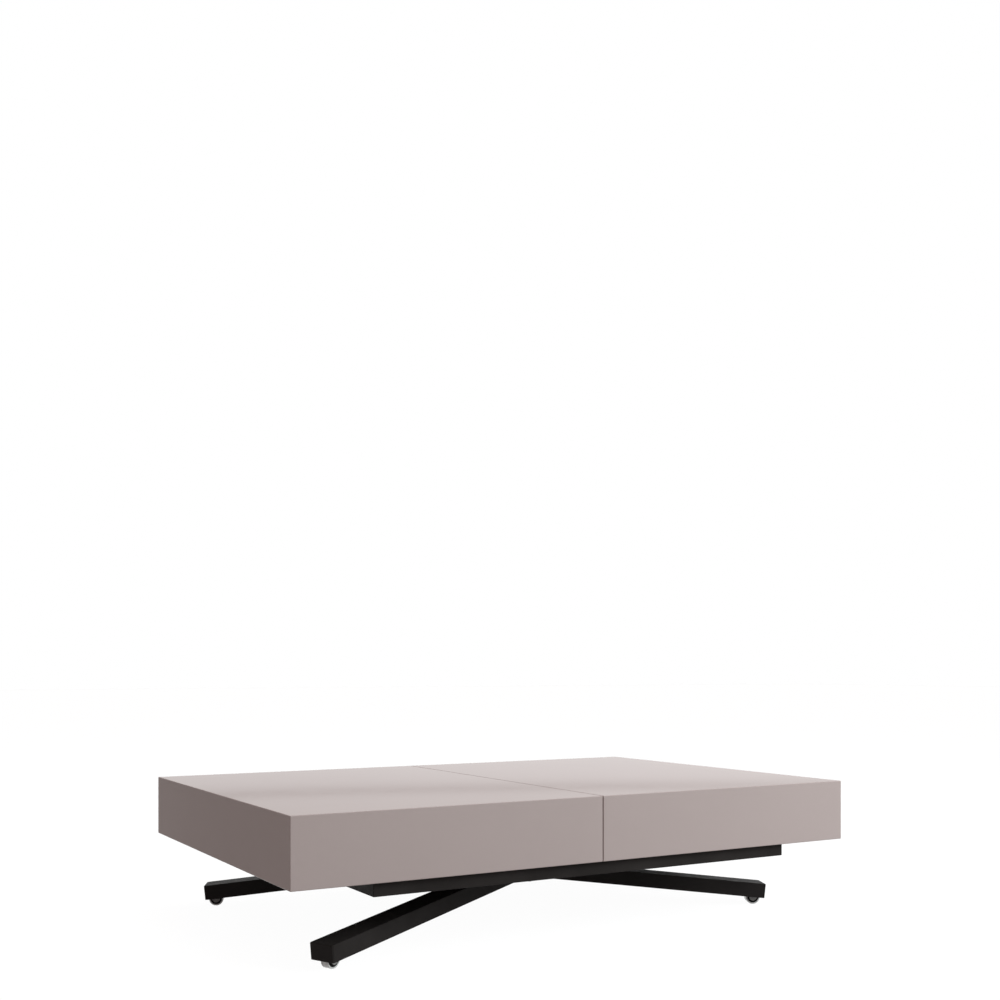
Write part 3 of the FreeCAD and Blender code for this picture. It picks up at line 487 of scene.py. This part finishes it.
def weld_bead(mesh_data, corners):
    """Rippled bead along straight runs from corner to corner, thin at both ends."""
    points = []
    for start, end in zip(corners, corners[1:]):
        steps = max(1, round((end - start).length / BEAD_STEP))
        points += [start.lerp(end, step / steps) for step in range(steps)]
    points.append(corners[-1])
    last = len(points) - 1
    loops = []
    for index, point in enumerate(points):
        along = (points[min(index + 1, last)] - points[max(index - 1, 0)]).normalized()
        across = along.orthogonal().normalized()
        if abs(along.dot(BEAD_REFERENCE)) < BEAD_PARALLEL:
            across = along.cross(BEAD_REFERENCE).normalized()
        up = along.cross(across)
        run = BEAD_STEP * index
        to_end = min(run, BEAD_STEP * last - run)
        ripple = BEAD_TROUGH + BEAD_SWELL * abs(math.sin(math.pi * run / BEAD_RIPPLE))
        taper = min(1.0, BEAD_TIP + to_end / BEAD_END)
        loop = []
        for side in range(BEAD_SIDES):
            angle = 2 * math.pi * side / BEAD_SIDES
            ray = across * math.cos(angle) + up * math.sin(angle)
            loop.append(point + ray * BEAD_RADIUS * ripple * taper)
        loops.append(loop)
    skin(mesh_data, loops)


def tube_end_bead(mesh_data, x0, x1, y, z0, z1):
    """Bead down one side, under and up the other side of a cross tube's end."""
    corners = ((x0, z1), (x0, z0), (x1, z0), (x1, z1))
    weld_bead(mesh_data, [Vector((x, y, z)) for x, z in corners])


def add_frame_beads():
    """Welds of the cross tubes to the side rails and of the pivot brackets to the end bar."""
    beads = bmesh.new()
    low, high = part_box("cross_tubes")
    inner = positive_reach("cross_tubes", X)[0]
    strut_low, strut_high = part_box("strut_cross_tube")
    tubes = (
        (inner, high.x, low, high),
        (low.x, -inner, low, high),
        (strut_low.x, strut_high.x, strut_low, strut_high),
    )
    for x0, x1, tube_low, tube_high in tubes:
        for y in (tube_low.y, tube_high.y):
            tube_end_bead(beads, x0, x1, y, tube_low.z, tube_high.z - BEAD_RADIUS)
    low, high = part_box("pivot_brackets")
    plate = positive_reach("pivot_brackets", Y)[0]
    for y in (low.y, -plate, plate, high.y):
        ends = (low.z + BEAD_RADIUS, high.z - BEAD_RADIUS)
        weld_bead(beads, [Vector((high.x, y, z)) for z in ends])
    add_piece("frame_weld_beads", beads, "frame", "black_steel")


def add_arm_beads(pair, arms, hub, pivot):
    """Welds round the hub at the sides of a leg pair's upper arms, where the hub goes on past them."""
    centre = joint_place["scissor"]
    toward = joint_place[pivot] - centre
    heading = math.atan2(toward.z, toward.x)
    hub_low, hub_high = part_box(hub)
    radius = (hub_high.z - hub_low.z) / 2
    steps = round(2 * ARM_WELD_ANGLE * radius / BEAD_STEP)
    beads = bmesh.new()
    for y in positive_reach(arms, Y):
        if hub_high.y - y < BEAD_RADIUS:
            continue
        for way in (-1, 1):
            arc = []
            for step in range(steps + 1):
                angle = heading + ARM_WELD_ANGLE * (2 * step / steps - 1)
                x = centre.x + radius * math.cos(angle)
                z = centre.z + radius * math.sin(angle)
                arc.append(Vector((x, way * y, z)))
            weld_bead(beads, arc)
    add_piece(f"{pair}_weld_beads", beads, f"{pair}_legs", "black_steel")


SHAFT_RINGS = (
    ("centre_axle_rings", "centre_axle", "scissor"),
    ("pivot_shaft_rings", "pivot_shaft", "lift"),
    ("roller_shaft_rings", "roller_shaft", "front_roller_spin"),
    ("strut_upper_pin_rings", "bracket_pins", "strut_tube_swing"),
    ("strut_lower_pin_rings", "strut_lower_pin", "strut_rod_swing"),
    ("lever_pin_rings", "bracket_pins", "release"),
)
for ring_set in SHAFT_RINGS:
    add_rings(*ring_set)
for leg_pair in ("outer", "inner"):
    add_rivets(leg_pair)
add_rail_screws("left", -1)
add_rail_screws("right", 1)
add_frame_beads()
add_arm_beads("outer", "outer_upper_arms", "outer_hub_sleeves", "lift")
add_arm_beads("inner", "inner_upper_arms", "inner_hub_sleeve", "front_roller_spin")


# Studio and camera
def aim(thing, place, target):
    """Put a thing at a place, pointing at a target."""
    thing.location = place
    thing.rotation_euler = (Vector(target) - Vector(place)).to_track_quat("-Z", "Y").to_euler()


def area_light(name, place, size, power, colour):
    """Round soft lamp that reflections don't show."""
    data = bpy.data.lights.new(name, "AREA")
    data.shape = "DISK"
    data.size = size
    data.energy = power
    data.color = colour
    light = bpy.data.objects.new(name, data)
    light.visible_glossy = False
    bpy.context.scene.collection.objects.link(light)
    aim(light, place, LIGHT_AIM)


def seen_ray(tree):
    """1 for rays that show the background: straight from the camera, in a reflection or through glass."""
    path = tree.nodes.new("ShaderNodeLightPath")
    seen = path.outputs["Is Camera Ray"]
    for name in ("Is Glossy Ray", "Is Transmission Ray"):
        either = tree.nodes.new("ShaderNodeMath")
        either.operation = "MAXIMUM"
        tree.links.new(seen, either.inputs[0])
        tree.links.new(path.outputs[name], either.inputs[1])
        seen = either.outputs[0]
    return seen


def reflected_band(tree):
    """White, apart from a narrow darker band low down that only reflections show."""
    direction = tree.nodes.new("ShaderNodeTexCoord").outputs["Generated"]
    height = tree.nodes.new("ShaderNodeVectorMath")
    height.operation = "DOT_PRODUCT"
    height.inputs[1].default_value = BAND_NORMAL
    tree.links.new(direction, height.inputs[0])
    glossy = tree.nodes.new("ShaderNodeLightPath").outputs["Is Glossy Ray"]
    not_glossy = tree.nodes.new("ShaderNodeMapRange")
    not_glossy.inputs["To Min"].default_value = 1.0
    not_glossy.inputs["To Max"].default_value = 0.0
    tree.links.new(glossy, not_glossy.inputs["Value"])
    field = tree.nodes.new("ShaderNodeMath")
    field.operation = "MAXIMUM"
    tree.links.new(height.outputs["Value"], field.inputs[0])
    tree.links.new(not_glossy.outputs["Result"], field.inputs[1])
    band = tree.nodes.new("ShaderNodeValToRGB")
    band.color_ramp.interpolation = "EASE"
    stops = band.color_ramp.elements
    stops.new(BAND_STOPS[1][0])
    for stop, (stop_height, tone) in zip(stops, BAND_STOPS):
        stop.position = stop_height
        stop.color = (tone, tone, tone, 1.0)
    tree.links.new(field.outputs[0], band.inputs["Fac"])
    return band.outputs["Color"]


def white_world():
    """White where it is seen, a warm grey fill elsewhere."""
    world = bpy.data.worlds.new("studio")
    bpy.context.scene.world = world
    world.use_nodes = True
    tree = world.node_tree
    fill = tree.nodes["Background"]
    fill.inputs["Color"].default_value = (*FILL_COLOUR, 1.0)
    fill.inputs["Strength"].default_value = FILL_STRENGTH
    seen = tree.nodes.new("ShaderNodeBackground")
    tree.links.new(reflected_band(tree), seen.inputs["Color"])
    pick = tree.nodes.new("ShaderNodeMixShader")
    tree.links.new(seen_ray(tree), pick.inputs[0])
    tree.links.new(fill.outputs["Background"], pick.inputs[1])
    tree.links.new(seen.outputs["Background"], pick.inputs[2])
    tree.links.new(pick.outputs["Shader"], tree.nodes["World Output"].inputs["Surface"])


def floor_paint():
    """Pale where light bounces off it, and a faint shadow on a see-through ground where it is seen."""
    material = bpy.data.materials.new("floor")
    material.use_nodes = True
    tree = material.node_tree
    tree.nodes.clear()
    paint = tree.nodes.new("ShaderNodeBsdfDiffuse")
    paint.inputs["Color"].default_value = (*FLOOR_COLOUR, 1.0)
    shadow = tree.nodes.new("ShaderNodeBsdfDiffuse")
    shadow.inputs["Color"].default_value = (*FLOOR_SHADOW, 1.0)
    clear = tree.nodes.new("ShaderNodeBsdfTransparent")
    clear.inputs["Color"].default_value = (*FLOOR_CLEAR, 1.0)
    both = tree.nodes.new("ShaderNodeAddShader")
    tree.links.new(shadow.outputs["BSDF"], both.inputs[0])
    tree.links.new(clear.outputs["BSDF"], both.inputs[1])
    pick = tree.nodes.new("ShaderNodeMixShader")
    tree.links.new(seen_ray(tree), pick.inputs[0])
    tree.links.new(paint.outputs["BSDF"], pick.inputs[1])
    tree.links.new(both.outputs["Shader"], pick.inputs[2])
    out = tree.nodes.new("ShaderNodeOutputMaterial")
    tree.links.new(pick.outputs["Shader"], out.inputs["Surface"])
    return material


def floor():
    """Plane at Z 0, through which legs that the lift lowers past it, and the underside, stay in view."""
    mesh = bpy.data.meshes.new("floor")
    half = FLOOR_SIZE / 2
    corners = [(-half, -half, 0), (half, -half, 0), (half, half, 0), (-half, half, 0)]
    mesh.from_pydata(corners, [], [(0, 1, 2, 3)])
    mesh.materials.append(floor_paint())
    plane = bpy.data.objects.new("floor", mesh)
    bpy.context.scene.collection.objects.link(plane)


def camera():
    """The photograph's view."""
    data = bpy.data.cameras.new("camera")
    data.lens = CAMERA_LENS
    data.shift_y = CAMERA_SHIFT_Y
    eye = bpy.data.objects.new("camera", data)
    bpy.context.scene.collection.objects.link(eye)
    eye.location = CAMERA_PLACE
    eye.rotation_euler = (math.radians(CAMERA_TILT_DEG), 0.0, math.radians(CAMERA_AZIMUTH_DEG))
    bpy.context.scene.camera = eye


white_world()
floor()
area_light("key", KEY_PLACE, KEY_SIZE, KEY_POWER, KEY_COLOUR)
area_light("overhead", TOP_PLACE, TOP_SIZE, TOP_POWER, TOP_COLOUR)
camera()
bpy.context.scene.view_settings.view_transform = "Standard"
